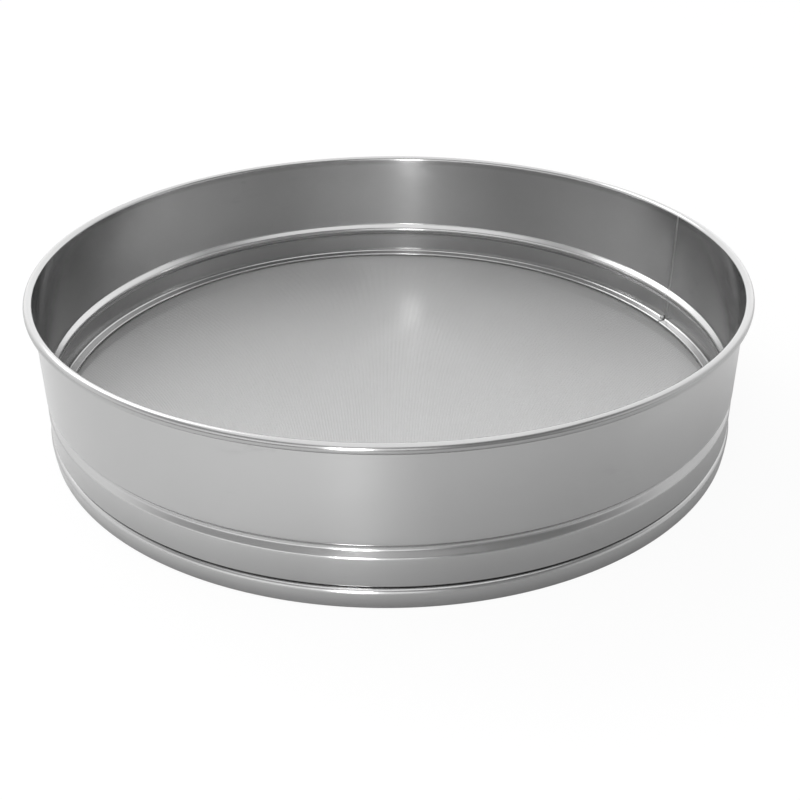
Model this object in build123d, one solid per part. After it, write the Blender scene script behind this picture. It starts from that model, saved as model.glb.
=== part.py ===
from build123d import *
import math
import os

# Drum sieve: two roll-formed steel rings with a wire cloth held between their flanges.
# Millimetres, Z up, origin on the floor at the middle of the foot ring.

# Overall sizes
rim_radius = 150.0          # outside of the rolled rim
sieve_height = 65.0         # floor to the top of the rim
hoop_sheet = 0.6            # thickness of the hoop's strip
fold_gap = 0.2              # between the two layers of a folded edge
bend_deviation = 0.15       # bends are made of flats that stray this far from the round

# Rolled rim over its wire
rim_wire_radius = 1.05
rim_wire_play = 0.2         # around the wire, inside the roll
rim_roll_degrees = 305.0    # how far the strip is rolled, outward and down to the wall

# Stiffening bead, rolled into the drum
bead_height = 22.75         # floor to the middle of the bead
bead_depth = 1.3
bead_edge_radius = 0.8      # where the bead leaves the wall
bead_crown_radius = 2.6

# Flange at the hoop's lower edge, folded back on itself
cloth_top = 8.3             # floor to the top of the cloth
flange_width = 4.2          # from the wall in to the fold
flange_bend_radius = 0.5    # inside the drum, between wall and flange
fold_wall_gap = 0.7         # from the folded edge to the wall

# Seam weld, which closes the strip into a hoop
seam_degrees = 20.5         # round from +X
seam_gap = 0.7              # between the strip's ends, open at the flange and filled above it
seam_width = 1.3
seam_rise = 0.15            # how far the weld stands into the drum
seam_end_gap = 0.4          # from the weld's lower end to the folded edge
burr_length = 1.4           # of the corner that stands up beside the slit
burr_width = 0.9
burr_height = 0.7

# Wire cloth
cloth_wire = 0.25           # diameter of one wire, two of them make the thickness
cloth_gap_count = 110       # openings between the wires that run front to back
cloth_wire_share = 0.39     # of the pitch, as in the real cloth
cloth_under_flange = 0.3    # how far the openings run on under the flange

# Foot ring
foot_sheet = 0.6
foot_overhang = 0.7         # how far the shoulder stands out past the hoop's wall
foot_bend_radius = 1.4      # outside of the shoulder
foot_draft_degrees = 5.0    # the skirt draws in towards the floor
foot_edge_fold = 3.0        # how far the folded safe edge runs back up
foot_flat_depth = 0.15      # dressed off the folded edge, so that it stands flat
foot_seam_degrees = 95.0

# Spot welds between the flanges
spot_count = 18
spot_sides = 6
spot_radius = 1.1
spot_circle_share = 0.45    # of the clamped width, out from the flange's edge

full_degrees = 360.0
half_degrees = full_degrees / 2
quarter_degrees = full_degrees / 4
inward, upward, outward, downward = half_degrees, quarter_degrees, 0, -quarter_degrees

# Derived sizes
roll_radius = rim_wire_radius + rim_wire_play + hoop_sheet
roll_centre_radius = rim_radius - roll_radius
roll_centre_height = sieve_height - roll_radius
wall_inside = roll_centre_radius - roll_radius
wall_outside = wall_inside + hoop_sheet
bead_turn = math.degrees(math.acos(1 - bead_depth / (bead_edge_radius + bead_crown_radius)))
bead_half = (bead_edge_radius + bead_crown_radius) * math.sin(math.radians(bead_turn))
flange_top = cloth_top + hoop_sheet
fold_underside = flange_top + fold_gap
fold_top = fold_underside + hoop_sheet
fold_outer_radius = wall_inside - fold_wall_gap
flange_inner_radius = wall_inside - flange_width
foot_shoulder_radius = wall_outside + foot_overhang
cloth_thickness = 2 * cloth_wire
cloth_bottom = cloth_top - cloth_thickness
cloth_radius = wall_inside - flange_bend_radius
spot_circle_radius = flange_inner_radius + (cloth_radius - flange_inner_radius) * spot_circle_share


def flat_count(radius, turn):
    """How many flats make a bend, so that none strays too far from the round."""
    if radius <= bend_deviation:
        return 1
    flat_degrees = 2 * math.degrees(math.acos(1 - bend_deviation / radius))
    return math.ceil(abs(turn) / flat_degrees)


def trace(start, heading, moves, shift):
    """Corners of one face of a strip: runs and bends, every bend's radius changed by shift."""
    points = [Vector(*start)]
    for kind, *sizes in moves:
        flats, length, turn = 1, sizes[0], 0
        if kind == "bend":
            radius = sizes[0] + math.copysign(shift, sizes[1])
            flats = flat_count(radius, sizes[1])
            turn = sizes[1] / flats
            length = 2 * radius * math.sin(math.radians(abs(turn) / 2))
        for _ in range(flats):
            along = math.radians(heading + turn / 2)
            points.append(points[-1] + length * Vector(math.cos(along), math.sin(along)))
            heading += turn
    return points


def strip_face(start, heading, moves, thickness):
    """Section of a strip that lies right of its path, or left of it if thickness is negative."""
    side = math.radians(heading - quarter_degrees)
    far_start = (start[0] + thickness * math.cos(side), start[1] + thickness * math.sin(side))
    near = trace(start, heading, moves, 0)
    far = trace(far_start, heading, moves, thickness)
    return make_face(Polyline(*near, *reversed(far), close=True))


def spin(section, degrees=full_degrees, middle=0):
    """Revolve a section, drawn as radius and height, about the upright axis."""
    turned = revolve(Plane.XZ * section, Axis.Z, degrees)
    return Rot(0, 0, middle - degrees / 2) * turned if degrees < full_degrees else turned


def closed_by_weld(strip_section, weld_core, weld_cap, radius, seam):
    """A strip bent round until its ends nearly meet, and the weld that fills the gap and caps it inside."""
    gap_degrees = math.degrees(seam_gap / radius)
    ring = spin(strip_section, full_degrees - gap_degrees, seam + half_degrees)
    core = spin(weld_core, gap_degrees, seam)
    return ring, core + spin(weld_cap, math.degrees(seam_width / radius), seam)


# Wall of the hoop from below the bead to the rim, shared by the hoop and its seam weld
def wall_moves(lower_end):
    return [
        ("run", bead_height - bead_half - lower_end),
        ("bend", bead_edge_radius, bead_turn),
        ("bend", bead_crown_radius, -2 * bead_turn),
        ("bend", bead_edge_radius, bead_turn),
        ("run", roll_centre_height - bead_height - bead_half),
    ]


def make_drum_hoop():
    fold_bend = fold_gap / 2
    folded = fold_outer_radius - flange_inner_radius - hoop_sheet - fold_bend
    rim_roll = ("bend", roll_radius, -rim_roll_degrees)
    moves = [
        ("run", folded),
        ("bend", fold_bend, half_degrees),
        ("run", wall_inside - flange_bend_radius - fold_outer_radius + folded),
        ("bend", flange_bend_radius, quarter_degrees),
        *wall_moves(flange_top + flange_bend_radius),
        rim_roll,
    ]
    strip = strip_face((fold_outer_radius, fold_underside), inward, moves, hoop_sheet)
    weld_start = (wall_inside, fold_top + seam_end_gap)
    weld_wall = wall_moves(fold_top + seam_end_gap)
    core = strip_face(weld_start, upward, weld_wall + [rim_roll], hoop_sheet)
    cap = strip_face(weld_start, upward, weld_wall, -seam_rise)
    return closed_by_weld(strip, core, cap, wall_inside, seam_degrees)


def make_seam_burr():
    corner = Polyline((0, 0), (burr_width, 0), (0, burr_height), close=True)
    burr = extrude(Plane.YZ * make_face(corner), burr_length)
    return Rot(0, 0, seam_degrees) * Pos(fold_outer_radius - burr_length, seam_gap / 2, fold_top) * burr


def make_rim_wire():
    sides = flat_count(rim_wire_radius, full_degrees)
    return spin(Pos(roll_centre_radius, roll_centre_height) * RegularPolygon(rim_wire_radius, sides))


def make_wire_cloth():
    open_radius = flange_inner_radius + cloth_under_flange
    pitch = 2 * open_radius / (cloth_gap_count + 1)
    gap = pitch * (1 - cloth_wire_share)
    openings = []
    for index in range(cloth_gap_count):
        across = pitch * (index + 1) - open_radius
        length = 2 * math.sqrt(open_radius**2 - (abs(across) + gap / 2) ** 2)
        openings.append(Pos(across, 0) * Rectangle(gap, length))
    spots = PolarLocations(spot_circle_radius, spot_count, full_degrees / spot_count / 2)
    holes = [place * RegularPolygon(spot_radius, spot_sides) for place in spots]
    cloth = Circle(cloth_radius) - openings - holes
    return Pos(0, 0, cloth_bottom) * extrude(cloth, cloth_thickness)


def make_foot_ring():
    edge_radius = foot_sheet + fold_gap / 2
    draft = math.radians(foot_draft_degrees)
    shoulder_end = cloth_bottom - foot_bend_radius * (1 + math.sin(draft))
    skirt_end = edge_radius * (1 - math.sin(draft)) - foot_flat_depth
    skirt_run = (shoulder_end - skirt_end) / math.cos(draft)
    moves = [
        ("run", foot_shoulder_radius - foot_bend_radius - flange_inner_radius),
        ("bend", foot_bend_radius, -quarter_degrees - foot_draft_degrees),
        ("run", skirt_run),
        ("bend", edge_radius, -half_degrees),
        ("run", foot_edge_fold),
    ]
    strip = strip_face((flange_inner_radius, cloth_bottom), outward, moves, foot_sheet)
    weld_moves = [("run", skirt_run - foot_edge_fold)]
    inside_bend = foot_bend_radius - foot_sheet
    inside_start = (
        foot_shoulder_radius - foot_bend_radius + inside_bend * math.cos(draft),
        cloth_bottom - foot_bend_radius - inside_bend * math.sin(draft),
    )
    skirt_heading = downward - foot_draft_degrees
    core = strip_face(inside_start, skirt_heading, weld_moves, -foot_sheet)
    cap = strip_face(inside_start, skirt_heading, weld_moves, seam_rise)
    ring, weld = closed_by_weld(strip, core, cap, foot_shoulder_radius, foot_seam_degrees)
    return split(ring, Plane.XY, keep=Keep.TOP), weld


def make_clamp_spot_welds():
    spots = PolarLocations(spot_circle_radius, spot_count, full_degrees / spot_count / 2)
    nugget = extrude(RegularPolygon(spot_radius, spot_sides), cloth_thickness)
    return Compound([Pos(0, 0, cloth_bottom) * place * nugget for place in spots])


drum_hoop, hoop_weld = make_drum_hoop()
foot_ring, foot_ring_seam_weld = make_foot_ring()
nodes = {
    "drum_hoop": drum_hoop,
    "rim_wire": make_rim_wire(),
    "hoop_seam_weld": Compound([hoop_weld, make_seam_burr()]),
    "wire_cloth": make_wire_cloth(),
    "foot_ring": foot_ring,
    "foot_ring_seam_weld": foot_ring_seam_weld,
    "clamp_spot_welds": make_clamp_spot_welds(),
}

os.makedirs("parts", exist_ok=True)
for name, shape in nodes.items():
    export_step(shape, f"parts/{name}.step")
    print(name, round(shape.volume, 1))
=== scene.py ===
from math import ceil, cos, degrees, exp, pi, radians, sin, sqrt, tan, tau
import bpy
from mathutils import Matrix, Vector


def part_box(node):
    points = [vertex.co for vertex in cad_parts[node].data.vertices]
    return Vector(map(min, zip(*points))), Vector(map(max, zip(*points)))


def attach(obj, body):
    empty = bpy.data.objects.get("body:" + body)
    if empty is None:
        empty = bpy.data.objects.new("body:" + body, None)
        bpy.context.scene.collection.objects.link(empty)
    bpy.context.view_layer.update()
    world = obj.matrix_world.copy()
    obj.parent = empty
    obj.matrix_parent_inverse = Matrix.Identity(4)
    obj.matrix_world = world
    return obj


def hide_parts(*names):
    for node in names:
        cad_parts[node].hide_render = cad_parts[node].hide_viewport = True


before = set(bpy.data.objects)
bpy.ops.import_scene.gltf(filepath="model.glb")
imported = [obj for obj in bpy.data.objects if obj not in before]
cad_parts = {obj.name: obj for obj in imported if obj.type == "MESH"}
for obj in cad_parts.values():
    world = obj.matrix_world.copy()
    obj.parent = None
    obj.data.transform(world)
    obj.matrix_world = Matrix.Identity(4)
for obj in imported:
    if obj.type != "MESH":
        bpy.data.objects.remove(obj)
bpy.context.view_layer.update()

mm = 0.001


# A socket that takes part in sums: each operator adds one Math node
class Val:
    def __init__(self, shader, socket):
        self.shader, self.socket = shader, socket

    def math(self, operation, *others):
        node = self.shader.add("ShaderNodeMath", {"operation": operation}, [self, *others])
        return node.val()

    def __add__(self, other):
        return self.math("ADD", other)

    def __sub__(self, other):
        return self.math("SUBTRACT", other)

    def __mul__(self, other):
        return self.math("MULTIPLY", other)

    def __truediv__(self, other):
        return self.math("DIVIDE", other)

    def __pow__(self, other):
        return self.math("POWER", other)

    def __rsub__(self, other):
        return self.shader.add("ShaderNodeMath", {"operation": "SUBTRACT"}, [other, self]).val()

    def __neg__(self):
        return self.math("MULTIPLY", -1.0)

    def __abs__(self):
        return self.math("ABSOLUTE")

    __radd__ = __add__
    __rmul__ = __mul__

    def ramp(self, low, high):                 # 0 below low, 1 above high, smooth between
        inputs = {"Value": self, "From Min": low, "From Max": high}
        return self.shader.add("ShaderNodeMapRange", {"interpolation_type": "SMOOTHSTEP"}, inputs).val()

    def bump(self, middle, width):             # 1 at middle, 0 a width away
        return 1 - abs(self - middle).ramp(0.0, width)


class Node:
    def __init__(self, shader, node):
        self.shader, self.node = shader, node

    def val(self, output=0):
        return Val(self.shader, self.node.outputs[output])


class Shader:
    def __init__(self, tree):
        self.tree = tree
        tree.nodes.clear()

    def add(self, kind, settings=None, inputs=None):
        node = self.tree.nodes.new(kind)
        for name, value in (settings or {}).items():
            setattr(node, name, value)
        pairs = inputs.items() if isinstance(inputs, dict) else enumerate(inputs or [])
        for name, value in pairs:
            if isinstance(value, Val):
                self.tree.links.new(value.socket, node.inputs[name])
            else:
                node.inputs[name].default_value = value
        return Node(self, node)

    def mixColour(self, amount, first, second):
        settings = {"data_type": "RGBA", "clamp_factor": True}
        return self.add("ShaderNodeMix", settings, {0: amount, 6: first, 7: second}).val(2)

    def place(self):                           # where a point is, in the row frame, metres
        parts = self.add("ShaderNodeSeparateXYZ", None, [self.add("ShaderNodeTexCoord").val("Object")])
        return parts.val("X"), parts.val("Y"), parts.val("Z")

    def vector(self, x, y, z):
        return self.add("ShaderNodeCombineXYZ", None, [x, y, z]).val()

    def noise(self, vector, scale, detail=2.0, roughness=0.5):
        inputs = {"Vector": vector, "Scale": scale, "Detail": detail, "Roughness": roughness}
        return self.add("ShaderNodeTexNoise", {"noise_dimensions": "3D"}, inputs).val("Fac")


def newMaterial(name):
    material = bpy.data.materials.new(name)
    material.use_nodes = True
    return material, Shader(material.node_tree)


def grey(level):
    return (level, level, level, 1.0)


# Sheet steel, rolled: the grain runs round the drum, with faint cloudy patches and handling marks, and
# painted shade towards the bottom and on the rim
def rolledSteel(name, steel):
    material, sh = newMaterial(name)
    x, y, z = sh.place()
    radius = (x * x + y * y) ** 0.5
    grainPlace = sh.vector(x / radius * steel["grainRuns"], y / radius * steel["grainRuns"],
                           (z + radius) * steel["grainFine"])
    grain = sh.noise(grainPlace, 1.0, detail=3.0, roughness=0.6)
    clouds = sh.noise(sh.vector(x, y, z), steel["cloudScale"], detail=3.0, roughness=0.55)
    marksPlace = sh.vector(x, y, z * steel["markFlatness"])
    marks = sh.noise(marksPlace, steel["markScale"], detail=4.0, roughness=0.65).ramp(*steel["markBand"])
    cloud, line = clouds - 0.5, grain - 0.5
    tone = cloud * steel["cloudTone"] + line * steel["grainTone"] - marks * steel["markTone"]
    paintedShade = (1 - z.ramp(*steel["lowShadeHeights"])) * steel["lowShadeTone"]       # painted shade: darker towards the bottom, standing in for the floor's contact shadow seen in the steel
    paintedShade = paintedShade + z.ramp(*steel["rimShadeHeights"]) * steel["rimShadeTone"]      # painted shade on the rolled rim, darkening its reflection
    colour = sh.mixColour(steel["tone"] + tone - paintedShade, grey(steel["dark"]), grey(steel["light"]))
    rough = steel["roughness"] + line * steel["grainRough"] + cloud * steel["cloudRough"]
    rough = rough + marks * steel["markRough"]
    bumpInputs = {"Height": grain, "Strength": steel["bump"], "Distance": steel["bumpDepth"] * mm}
    normal = sh.add("ShaderNodeBump", None, bumpInputs).val()
    surface = {"Base Color": colour, "Metallic": 1.0, "Roughness": rough, "Normal": normal,
               "Anisotropic": steel["anisotropic"], "Anisotropic Rotation": 0.25}
    shader = sh.add("ShaderNodeBsdfPrincipled", None, surface).val()
    sh.add("ShaderNodeOutputMaterial", None, [shader])
    return material


# Welds: duller than the sheet, with fine ripples
def weldSteel(name, weld):
    material, sh = newMaterial(name)
    x, y, z = sh.place()
    spots = sh.noise(sh.vector(x, y, z), weld["spotScale"], detail=3.0, roughness=0.6)
    wide = weld["rippleWide"]
    ripples = sh.noise(sh.vector(x * wide, y * wide, z), weld["rippleScale"])
    colour = sh.mixColour(spots, grey(weld["dark"]), grey(weld["light"]))
    bumpInputs = {"Height": ripples, "Strength": weld["bump"], "Distance": weld["bumpDepth"] * mm}
    normal = sh.add("ShaderNodeBump", None, bumpInputs).val()
    rough = weld["roughness"] + (spots - 0.5) * weld["roughSpread"]
    surface = {"Base Color": colour, "Metallic": 1.0, "Roughness": rough, "Normal": normal}
    shader = sh.add("ShaderNodeBsdfPrincipled", None, surface).val()
    sh.add("ShaderNodeOutputMaterial", None, [shader])
    return material


# Drawn wire of the cloth: bright on top, a little duller in patches
def wireSteel(name, wire):
    material, sh = newMaterial(name)
    x, y, z = sh.place()
    patches = sh.noise(sh.vector(x, y, z), wire["patchScale"])
    streaks = sh.noise(sh.vector(x * wire["streakLong"], y * wire["streakShort"], z), 1.0)
    tone = 0.5 + (patches - 0.5) * wire["patchTone"] + (streaks - 0.5) * wire["streakTone"]
    colour = sh.mixColour(tone, grey(wire["dark"]), grey(wire["light"]))
    rough = wire["roughness"] + (patches - 0.5) * wire["roughSpread"]
    surface = {"Base Color": colour, "Metallic": 1.0, "Roughness": rough}
    shader = sh.add("ShaderNodeBsdfPrincipled", None, surface).val()
    sh.add("ShaderNodeOutputMaterial", None, [shader])
    return material


def newPiece(name, points, faces, material, sharpDegrees=35):
    mesh = bpy.data.meshes.new(name)
    mesh.from_pydata(points, [], faces)
    mesh.validate()
    mesh.update()
    mesh.shade_smooth()
    mesh.set_sharp_from_angle(angle=radians(sharpDegrees))
    piece = bpy.data.objects.new(name, mesh)
    bpy.context.scene.collection.objects.link(piece)
    mesh.materials.append(material)
    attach(piece, "root")
    return piece


# One face of a strip as radius and height: runs and bends, every bend's radius changed by shift
def trace(start, heading, moves, shift, stepDegrees=11, runStep=2.5 * mm):
    points = [start]
    for kind, *sizes in moves:
        if kind == "run":
            steps, turn, length = max(1, ceil(sizes[0] / runStep)), 0, sizes[0]
            length /= steps
        else:
            radius = sizes[0] + (shift if sizes[1] > 0 else -shift)
            steps = max(2, ceil(abs(sizes[1]) / stepDegrees))
            turn = sizes[1] / steps
            length = 2 * radius * sin(radians(abs(turn) / 2))
        for _ in range(steps):
            along = radians(heading + turn / 2)
            points.append((points[-1][0] + length * cos(along), points[-1][1] + length * sin(along)))
            heading += turn
    return points


def stripSides(start, heading, moves, thickness):
    side = radians(heading - 90)
    farStart = (start[0] + thickness * cos(side), start[1] + thickness * sin(side))
    return trace(start, heading, moves, 0), trace(farStart, heading, moves, thickness)


# Azimuths round the drum in degrees, closer together near the seam
def azimuths(seam, gap, coarse, fineSpan=9.0, fine=0.3):
    around = [seam + gap / 2]
    while around[-1] < seam + 360 - gap / 2:
        away = min(around[-1] - seam, seam + 360 - around[-1])
        around.append(around[-1] + (fine if away < fineSpan else coarse))
    around[-1] = seam + 360 - gap / 2
    return around


# A strip bent round until its ends nearly meet, as one closed shell.
# shape moves a point, given as radius, height and azimuth
def bentStrip(sides, around, shape):
    section = sides[0] + sides[1][::-1]
    count = len(section)
    points = []
    for azimuth in around:
        for radius, height in section:
            r, z = shape(radius, height, azimuth)
            points.append((r * cos(radians(azimuth)), r * sin(radians(azimuth)), z))
    faces = []
    for i in range(len(around) - 1):
        for j in range(count):
            k = (j + 1) % count
            faces.append((i * count + j, i * count + k, (i + 1) * count + k, (i + 1) * count + j))
    near = len(sides[0])
    for j in range(min(near, len(sides[1])) - 1):          # the two cut ends, as a ladder of quads
        for base, flip in ((0, True), ((len(around) - 1) * count, False)):
            face = (base + j, base + j + 1, base + count - 2 - j, base + count - 1 - j)
            faces.append(face[::-1] if flip else face)
    return points, faces


print("sizes from the frame")
clothLow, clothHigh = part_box("wire_cloth")

hoop = {
    "rimRadius": 149.96 * mm, "top": 64.97 * mm, "sheet": 0.6 * mm, "foldGap": 0.2 * mm,
    "wireRadius": 1.05 * mm, "wirePlay": 0.2 * mm, "rollDegrees": 305,
    "beadLow": 19.5 * mm, "beadHigh": 26.3 * mm, "beadDepth": 2.3 * mm,
    "beadSlope": 48, "beadEdge": 0.8 * mm,
    "flangeWidth": 4.2 * mm, "flangeBend": 0.5 * mm, "flangeSlope": 4,
    "foldWallGap": 0.02 * mm, "hemRun": 0.45 * mm, "hemBend": 0.6 * mm, "hemSlope": 45,    # turned-up edge
    "seam": 20.5, "seamGap": 0.7 * mm, "stepDegrees": 1.0,
    "wobble": 0.03 * mm, "dish": 0.09 * mm,               # how far the rolled wall strays from round
    "dishWaves": 0.9, "dishReach": 3.2,                   # beside the seam, in degrees
    "trueBelowRim": 5 * mm, "wobbleRise": 16 * mm, "wobbleFall": 8 * mm,
}
hoop["rollRadius"] = hoop["wireRadius"] + hoop["wirePlay"] + hoop["sheet"]
hoop["rollCentre"] = hoop["rimRadius"] - hoop["rollRadius"]
hoop["rollHeight"] = hoop["top"] - hoop["rollRadius"]
hoop["wallInside"] = hoop["rollCentre"] - hoop["rollRadius"]
hoop["wallOutside"] = hoop["wallInside"] + hoop["sheet"]
hoop["clothTop"] = clothHigh.z
hoop["flangeInner"] = hoop["wallInside"] - hoop["flangeWidth"]
hoop["foldOuter"] = hoop["wallInside"] - hoop["foldWallGap"]
hoop["flangeTop"] = hoop["clothTop"] + hoop["sheet"]
hoop["foldUnder"] = hoop["flangeTop"] + hoop["foldGap"]
hoop["foldTop"] = hoop["foldUnder"] + hoop["sheet"]


# Wall and bead, from below: two straight flanks with rounded edges and a round crown between them
def wallMoves(lowerEnd):
    slope, half = radians(hoop["beadSlope"]), (hoop["beadHigh"] - hoop["beadLow"]) / 2
    flank = (hoop["beadDepth"] - half * tan(slope / 2)) / (sin(slope) - cos(slope) * tan(slope / 2))
    crown = (half - flank * cos(slope)) / sin(slope) - hoop["beadEdge"]
    edge = ("bend", hoop["beadEdge"], hoop["beadSlope"])
    return [
        ("run", hoop["beadLow"] - lowerEnd), edge, ("run", flank),
        ("bend", crown, -2 * hoop["beadSlope"]),
        ("run", flank), edge, ("run", hoop["rollHeight"] - hoop["beadHigh"]),
    ]


# The wall strays a little from round, and dishes beside the seam weld where the heat drew it
def wallShape(radius, height, azimuth):
    around = radians(azimuth)
    fromBead = (height - hoop["beadHigh"]) / hoop["wobbleRise"]
    fromRim = (hoop["top"] - hoop["trueBelowRim"] - height) / hoop["wobbleFall"]
    free = max(0.0, min(1.0, fromBead)) * max(0.0, min(1.0, fromRim))
    waves = ((1.0, 3, 0.6, 0), (0.5, 7, 2.1, 60), (0.35, 12, 0.0, 110))    # size, count, turn, lean
    stray = sum(size * sin(count * around + turn + lean * height) for size, count, turn, lean in waves)
    beside = (azimuth - hoop["seam"] + 180) % 360 - 180
    dish = hoop["dish"] * sin(beside * hoop["dishWaves"]) * exp(-(beside / hoop["dishReach"]) ** 2)
    return radius + free * (hoop["wobble"] * stray + dish), height


def buildHoop(material):
    foldBend, hem = hoop["foldGap"] / 2, hoop["hemBend"] + hoop["sheet"]
    steep, flat = radians(hoop["hemSlope"]), radians(hoop["flangeSlope"])
    foldCentre = hoop["flangeInner"] + hoop["sheet"] + foldBend
    reach = hoop["hemRun"] * cos(steep) + hem * (sin(steep) - sin(flat)) - foldBend * sin(flat)
    folded = (hoop["foldOuter"] - foldCentre - reach) / cos(flat)
    rise = folded * sin(flat) + hem * (cos(flat) - cos(steep)) + hoop["hemRun"] * sin(steep)
    start = (hoop["foldOuter"], hoop["flangeTop"] + foldBend * (1 + cos(flat)) + rise)
    moves = [
        ("run", hoop["hemRun"]), ("bend", hem, hoop["flangeSlope"] - hoop["hemSlope"]), ("run", folded),
        ("bend", foldBend, 180 - hoop["flangeSlope"]),
        ("run", hoop["wallInside"] - hoop["flangeBend"] - foldCentre),
        ("bend", hoop["flangeBend"], 90),
        *wallMoves(hoop["flangeTop"] + hoop["flangeBend"]),
        ("bend", hoop["rollRadius"], -hoop["rollDegrees"]),
    ]
    sides = stripSides(start, 180 + hoop["hemSlope"], moves, hoop["sheet"])
    gap = degrees(hoop["seamGap"] / hoop["wallInside"])
    points, faces = bentStrip(sides, azimuths(hoop["seam"], gap, hoop["stepDegrees"]), wallShape)
    piece = newPiece("drumHoop", points, faces, material)
    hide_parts("drum_hoop")
    return piece


foot = {
    "sheet": 0.6 * mm, "overhang": 0.7 * mm, "bend": 2.0 * mm,
    "draft": 8.0, "bulge": 6.0, "edgeFold": 3.0 * mm, "fineSpan": 2.0,
    "seam": 95.0, "seamGap": 0.7 * mm, "flatDepth": 0.15 * mm, "stepDegrees": 1.0,
}


# The ring stands on the floor: nothing of it goes lower
def onFloor(radius, height, azimuth):
    return radius, max(0.0, height)


def buildFoot(material):
    edge = foot["sheet"] + hoop["foldGap"] / 2
    shoulder = hoop["wallOutside"] + foot["overhang"]
    draft, upper = radians(foot["draft"]), radians(foot["draft"] - foot["bulge"])
    shoulderEnd = clothLow.z - foot["bend"] * (1 + sin(upper))
    skirtEnd = edge * (1 - sin(draft)) - foot["flatDepth"]
    skirtRadius = (shoulderEnd - skirtEnd) / (sin(draft) - sin(upper))
    moves = [
        ("run", shoulder - foot["bend"] - hoop["flangeInner"]),
        ("bend", foot["bend"], -90 - foot["draft"] + foot["bulge"]), ("bend", skirtRadius, -foot["bulge"]),
        ("bend", edge, -180), ("run", foot["edgeFold"]),
    ]
    sides = stripSides((hoop["flangeInner"], clothLow.z), 0, moves, foot["sheet"])
    gap = degrees(foot["seamGap"] / shoulder)
    around = azimuths(foot["seam"], gap, foot["stepDegrees"], foot["fineSpan"])
    points, faces = bentStrip(sides, around, onFloor)
    piece = newPiece("footRing", points, faces, material)
    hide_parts("foot_ring")
    return piece


cloth = {"wire": 0.25 * mm, "pitch": 0.635 * mm, "sides": 6, "layerShare": 0.5, "trim": 1.3 * mm}


# Straight wires both ways, the second set half a wire lower
def buildCloth(material):
    edge = clothHigh.x - cloth["trim"]
    wire, pitch, sides = cloth["wire"] / 2, cloth["pitch"], cloth["sides"]
    points, faces = [], []
    count = int(edge / pitch)
    for layer in range(2):
        level = clothHigh.z - wire - layer * cloth["wire"] * cloth["layerShare"]
        for i in range(-count, count + 1):
            across = i * pitch
            reach = sqrt(edge * edge - across * across)
            base = len(points)
            for end in (-reach, reach):
                for k in range(sides):
                    turn = tau * k / sides
                    side, up = across + wire * cos(turn), level + wire * sin(turn)
                    points.append((end, side, up) if layer else (side, end, up))
            for k in range(sides):
                n = (k + 1) % sides
                quad = (base + k, base + n, base + sides + n, base + sides + k)
                faces.append(quad if layer else quad[::-1])
            nearEnd = tuple(range(base, base + sides))
            farEnd = tuple(range(base + 2 * sides - 1, base + sides - 1, -1))
            faces.extend(end[::-1] if layer else end for end in (nearEnd, farEnd))
    piece = newPiece("clothWires", points, faces, material, sharpDegrees=80)
    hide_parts("wire_cloth")
    return piece


rimWire = {"around": 240, "sides": 16}


def buildRimWire(material):
    points, faces = [], []
    around, sides = rimWire["around"], rimWire["sides"]
    for i in range(around):
        a = tau * i / around
        for k in range(sides):
            b = tau * k / sides
            r = hoop["rollCentre"] + hoop["wireRadius"] * cos(b)
            points.append((r * cos(a), r * sin(a), hoop["rollHeight"] + hoop["wireRadius"] * sin(b)))
    for i in range(around):
        for k in range(sides):
            n, m = (i + 1) % around, (k + 1) % sides
            faces.append((i * sides + k, n * sides + k, n * sides + m, i * sides + m))
    piece = newPiece("rimWire", points, faces, material)
    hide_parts("rim_wire")
    return piece


seamWeld = {
    "width": 1.3 * mm, "rise": 0.15 * mm, "endGap": 1.0 * mm, "across": 8,
    "ripple": 0.8 * mm, "rippleDepth": 0.25, "rollShare": 0.15, "sink": 0.02 * mm,
}

burr = {
    "length": 1.4 * mm, "width": 2.8 * mm, "height": 1.1 * mm, "lift": 0.7 * mm,
    "sections": 7, "corners": 12, "start": 0.1, "endSwell": 0.25, "ragged": 0.18, "raggedWaves": 9.0,
}


# The corner of the fold that curls up beside the seam: a small rounded hump with a ragged crest
def addBurr(points, faces):
    base, corners, sections = len(points), burr["corners"], burr["sections"]
    seam = radians(hoop["seam"])
    for i in range(sections):
        share = i / (sections - 1)
        inward = hoop["foldOuter"] - (burr["start"] + share) * burr["length"]
        swell = burr["endSwell"] + (1 - burr["endSwell"]) * sin(share * pi)
        swell += burr["ragged"] * sin(burr["raggedWaves"] * share)
        for k in range(corners):
            turn = tau * k / corners
            across = hoop["seamGap"] / 2 + burr["width"] / 2 * (1 + cos(turn) * swell)
            onTop = sin(turn) > -0.1                      # the lower corners stay on the fold
            crest = burr["lift"] * onTop + burr["height"] * max(0.0, sin(turn))
            x = inward * cos(seam) - across * sin(seam)
            y = inward * sin(seam) + across * cos(seam)
            points.append((x, y, hoop["foldTop"] + swell * crest))
    for i in range(sections - 1):
        for k in range(corners):
            n = (k + 1) % corners
            near, far = base + i * corners, base + (i + 1) * corners
            faces.append((near + k, near + n, far + n, far + k))
    faces.append(tuple(range(base, base + corners))[::-1])
    faces.append(tuple(range(base + (sections - 1) * corners, base + sections * corners)))


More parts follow.
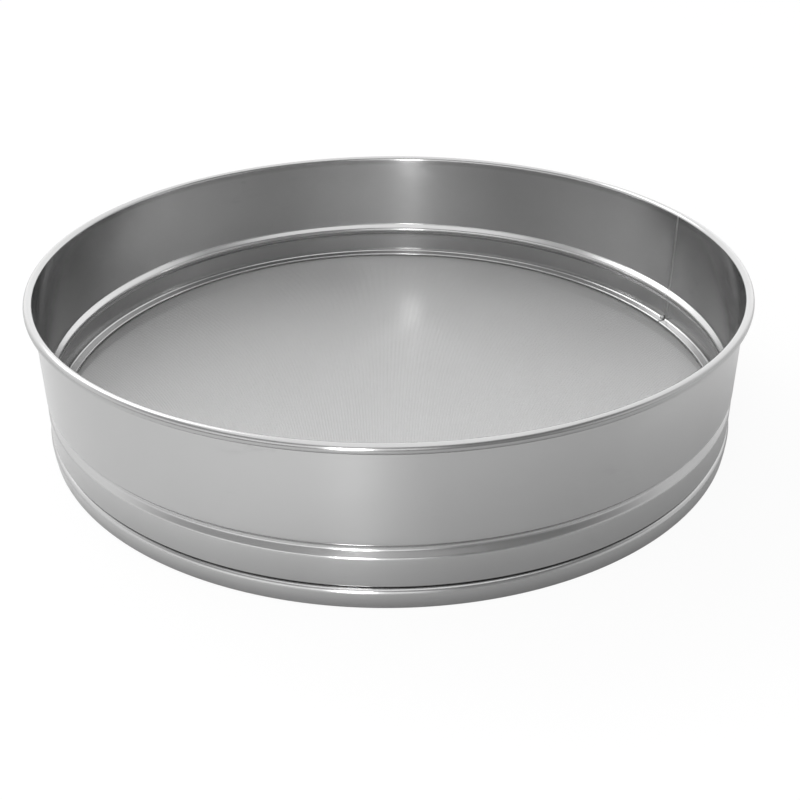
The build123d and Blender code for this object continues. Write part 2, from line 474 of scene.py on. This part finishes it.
# The hoop's weld: fills the gap between the strip's ends, and stands a little proud of the wall in ripples
def buildSeamWeld(material):
    lower = hoop["foldTop"] + seamWeld["endGap"]
    moves = wallMoves(lower) + [("bend", hoop["rollRadius"], -hoop["rollDegrees"])]
    inner, outer = stripSides((hoop["wallInside"], lower), 90, moves, hoop["sheet"])
    points, faces = [], []
    across = seamWeld["across"]
    half = degrees(seamWeld["width"] / 2 / hoop["wallInside"])
    wallCount = len(trace((0, 0), 90, wallMoves(lower), 0))
    rows = min(len(inner), len(outer))
    for row in range(rows):
        (ri, zi), (ro, zo) = inner[row], outer[row]
        proud = 1.0 if row < wallCount - 2 else seamWeld["rollShare"]    # nearly flush on the rolled rim
        for k in range(across + 1):
            share = 2 * k / across - 1
            azimuth = hoop["seam"] + share * half
            wave = sin(tau * zi / seamWeld["ripple"] + share)
            ripple = 1 - seamWeld["rippleDepth"] * (1 - wave)
            crown = sqrt(max(0.0, 1 - share * share)) * seamWeld["rise"] * proud * ripple
            nx, nz = (ri - ro) / hoop["sheet"], (zi - zo) / hoop["sheet"]
            r, _ = wallShape(ri, zi, azimuth)
            r += nx * (crown - seamWeld["sink"] * (1 - abs(share)))
            z = zi + nz * crown
            points.append((r * cos(radians(azimuth)), r * sin(radians(azimuth)), z))
        for k in (0, 1):
            azimuth = hoop["seam"] + (1 - 2 * k) * degrees(hoop["seamGap"] / 2 / hoop["wallInside"])
            r, _ = wallShape(ro, zo, azimuth)
            points.append((r * cos(radians(azimuth)), r * sin(radians(azimuth)), zo))
    count = across + 3
    for row in range(rows - 1):
        for k in range(count):
            n = (k + 1) % count
            faces.append((row * count + k, row * count + n, (row + 1) * count + n, (row + 1) * count + k))
    faces.append(tuple(range(count))[::-1])
    faces.append(tuple(range((rows - 1) * count, rows * count)))
    addBurr(points, faces)
    piece = newPiece("hoopSeamWeld", points, faces, material, sharpDegrees=60)
    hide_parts("hoop_seam_weld")
    return piece


camera = {
    "height": 235.67 * mm, "back": 417.51 * mm, "pitch": 26.870, "yaw": 0.140, "roll": -0.433,
    "focalPixels": 1050.1, "centreX": 391.59, "centreY": 342.84, "frame": 800,
}


def buildCamera():
    lens = bpy.data.cameras.new("photoCamera")
    lens.sensor_width = 36
    lens.lens = camera["focalPixels"] / camera["frame"] * lens.sensor_width
    lens.shift_x = 0.5 - camera["centreX"] / camera["frame"]
    lens.shift_y = camera["centreY"] / camera["frame"] - 0.5
    lens.clip_start = 0.01
    p, w, roll = radians(camera["pitch"]), radians(camera["yaw"]), radians(camera["roll"])
    right = Vector((cos(w), -sin(w), 0))
    ahead = Vector((sin(w) * cos(p), cos(w) * cos(p), -sin(p)))
    up = Vector((sin(w) * sin(p), cos(w) * sin(p), cos(p)))
    turnedRight = right * cos(roll) + up * sin(roll)
    turnedUp = up * cos(roll) - right * sin(roll)
    view = bpy.data.objects.new("photoCamera", lens)
    view.matrix_world = Matrix((
        (turnedRight.x, turnedUp.x, -ahead.x, 0),
        (turnedRight.y, turnedUp.y, -ahead.y, -camera["back"]),
        (turnedRight.z, turnedUp.z, -ahead.z, camera["height"]),
        (0, 0, 0, 1),
    ))
    bpy.context.scene.collection.objects.link(view)
    bpy.context.scene.camera = view


studio = {
    "frontRing": 1.45, "frontRingRight": 0.4, "sideRing": 1.1, "sideRingRight": 0.85, "backRing": 1.6,
    "frontLeft": 0.42, "frontRight": 0.24, "sideMid": 0.42, "backLeft": 1.5, "backRight": 1.5,
    "overhead": 1.5, "horizon": 0.35, "fillLeft": 0.9, "fillRight": 0.55, "fillBack": 2.6,
    # painted shade: the two darker floor tones in this line stand for the drum's shadow and the unlit room
    "floor": 0.82, "floorShadowTone": 0.66, "floorFarShade": 0.25, "floorShadeReach": (0.24, 0.42),
    "shadowRight": (-0.03, 0.04), "shadowNear": (0.08, 0.2),        # painted shadow: the floor is greyer in front, on the right, where the drum's shadow falls
    "floorSize": 6.0, "floorDrop": 0.1 * mm, "floorSeen": 0.92,
}

# Where the parts of the room begin and end, in the x, y or z of the direction that is looked in
bands = {
    "front": (-0.1, 0.5), "back": (-0.05, 0.35), "side": (0.6, 0.95),
    "behindRight": (-0.1, 0.5), "aheadRight": (-0.1, 0.15),
    "ringRight": (0.05, 0.35), "edgeRight": (0.0, 0.2),
    "horizon": (0.03, 0.12), "middle": (0.46, 0.6), "overhead": (0.8, 0.9),
    "fill": (-0.6, 0.6), "fillBack": (-0.5, 0.4),
    "fillHeight": (0.62, 0.35),                           # middle and reach
}


def blend(first, second, share):
    return first + (second - first) * share


def buildWorld():
    world = bpy.data.worlds.new("studio")
    world.use_nodes = True
    bpy.context.scene.world = world
    sh = Shader(world.node_tree)
    path = sh.add("ShaderNodeLightPath")
    seen = path.val("Is Camera Ray").math("MAXIMUM", path.val("Is Transmission Ray"))
    glossy = path.val("Is Glossy Ray")
    parts = sh.add("ShaderNodeSeparateXYZ", None, [sh.add("ShaderNodeTexCoord").val("Generated")])
    x, y, z = parts.val("X"), parts.val("Y"), parts.val("Z")
    front, back, side = (-y).ramp(*bands["front"]), y.ramp(*bands["back"]), abs(x).ramp(*bands["side"])
    behind = blend(studio["backLeft"], studio["backRight"], x.ramp(*bands["behindRight"]))
    ahead = blend(studio["frontLeft"], studio["frontRight"], x.ramp(*bands["aheadRight"]))
    middle = blend(blend(ahead, behind, back), studio["sideMid"], side)
    ring = blend(studio["frontRing"], studio["frontRingRight"], x.ramp(*bands["ringRight"]))
    edge = blend(studio["sideRing"], studio["sideRingRight"], x.ramp(*bands["edgeRight"]))
    ring = blend(blend(ring, studio["backRing"], back), edge, side)
    room = blend(ring, middle, z.ramp(*bands["middle"]))
    room = blend(room, studio["overhead"], z.ramp(*bands["overhead"]))
    room = blend(room, studio["horizon"], (1 - z.ramp(*bands["horizon"])) * front)
    fill = blend(studio["fillLeft"], studio["fillRight"], x.ramp(*bands["fill"]))
    fill = fill + studio["fillBack"] * z.bump(*bands["fillHeight"]) * back * (1 - x.ramp(*bands["fillBack"]))
    strength = seen + (1 - seen) * (glossy * room + (1 - glossy) * fill)
    background = sh.add("ShaderNodeBackground", None, {"Color": grey(1.0), "Strength": strength}).val()
    sh.add("ShaderNodeOutputWorld", None, [background])


def buildFloor():
    half = studio["floorSize"]
    points = [(-half, -half, 0), (half, -half, 0), (half, half, 0), (-half, half, 0)]
    mesh = bpy.data.meshes.new("floor")
    mesh.from_pydata([(x, y, z - studio["floorDrop"]) for x, y, z in points], [], [(0, 1, 2, 3)])
    floor = bpy.data.objects.new("floor", mesh)
    bpy.context.scene.collection.objects.link(floor)
    material, sh = newMaterial("floorPaper")
    path = sh.add("ShaderNodeLightPath")
    x, y, z = sh.place()
    # painted shadow on the floor in front, on the right, seen only in the steel's reflections
    sheet = x.ramp(*studio["shadowRight"]) * (-y).ramp(*studio["shadowNear"])
    tone = sh.mixColour(sheet, grey(studio["floor"]), grey(studio["floorShadowTone"]))
    far = (-y).ramp(*studio["floorShadeReach"])                # painted shade: far in front the floor is painted dark, for the unlit room seen in the steel
    tone = sh.mixColour(far, tone, grey(studio["floorFarShade"]))
    tone = sh.mixColour(path.val("Is Camera Ray"), tone, grey(1.0))
    paper = sh.add("ShaderNodeBsdfDiffuse", None, {"Color": tone}).val()
    glow = sh.add("ShaderNodeEmission", None, {"Color": grey(1.0), "Strength": 1.0}).val()
    seen = path.val("Is Camera Ray") * studio["floorSeen"]
    both = sh.add("ShaderNodeMixShader", None, [seen, paper, glow]).val()
    sh.add("ShaderNodeOutputMaterial", None, [both])
    mesh.materials.append(material)


def addLamp(name, place, target, size, power):
    lamp = bpy.data.lights.new(name, "AREA")
    lamp.shape = "RECTANGLE"
    lamp.size, lamp.size_y = size
    lamp.energy = power
    holder = bpy.data.objects.new(name, lamp)
    holder.location = place
    holder.rotation_euler = (Vector(target) - Vector(place)).to_track_quat("-Z", "Y").to_euler()
    bpy.context.scene.collection.objects.link(holder)
    return holder


lamps = {
    "frontPanel": ((-0.085, -0.52, 0.15), (0, 0.1, 0.05), (0.075, 0.16), 0.68),
    "backPanel": ((-0.75, 0.85, 1.1), (0, 0, 0), (0.7, 0.7), 4.0),
}

print("materials")
hoopSteel = rolledSteel("hoopSteel", {
    "grainRuns": 6.0, "grainFine": 2600.0, "grainTone": 0.12, "grainRough": 0.06,
    "cloudScale": 22.0, "cloudTone": 0.16, "cloudRough": 0.06,
    "markScale": 60.0, "markTone": 0.06, "markRough": 0.05,
    "markFlatness": 2.2, "markBand": (0.6, 0.75),
    "tone": 0.62, "dark": 0.33, "light": 0.62, "roughness": 0.19, "bump": 0.05, "bumpDepth": 0.02,
    "anisotropic": 0.86,
    # painted shade: darker below 24 mm, and a darker rim above 60.5 mm
    "lowShadeHeights": (0.008, 0.024), "lowShadeTone": 0.24, "rimShadeHeights": (0.0605, 0.062), "rimShadeTone": 0.2,
})
footSteel = rolledSteel("footSteel", {
    "grainRuns": 6.0, "grainFine": 2600.0, "grainTone": 0.12, "grainRough": 0.06,
    "cloudScale": 26.0, "cloudTone": 0.16, "cloudRough": 0.06,
    "markScale": 70.0, "markTone": 0.06, "markRough": 0.05,
    "markFlatness": 2.2, "markBand": (0.6, 0.75),
    "tone": 0.62, "dark": 0.33, "light": 0.62, "roughness": 0.19, "bump": 0.05, "bumpDepth": 0.02,
    "anisotropic": 0.86,
    # painted shade: darker in the lowest 7 mm of the foot; no rim shade here
    "lowShadeHeights": (0.0, 0.007), "lowShadeTone": 0.55, "rimShadeHeights": (1.0, 2.0), "rimShadeTone": 0.0,
})
clothSteel = wireSteel("clothSteel", {
    "patchScale": 9.0, "patchTone": 0.3, "streakLong": 6.0, "streakShort": 90.0, "streakTone": 0.15,
    "dark": 0.52, "light": 0.64, "roughness": 0.4, "roughSpread": 0.05,
})
weldMetal = weldSteel("weldMetal", {
    "spotScale": 900.0, "rippleScale": 1800.0, "rippleWide": 0.3,
    "dark": 0.42, "light": 0.62, "roughness": 0.34, "roughSpread": 0.1,
    "bump": 0.2, "bumpDepth": 0.05,
})

print("pieces")
buildHoop(hoopSteel)
buildFoot(footSteel)
buildCloth(clothSteel)
buildRimWire(weldMetal)
buildSeamWeld(weldMetal)
for node in ("clamp_spot_welds", "foot_ring_seam_weld"):
    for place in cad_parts[node].material_slots:
        place.material = weldMetal

print("studio")
buildWorld()
buildFloor()
for name, (place, target, size, power) in lamps.items():
    addLamp(name, place, target, size, power)
buildCamera()
bpy.context.scene.view_settings.view_transform = "Standard"
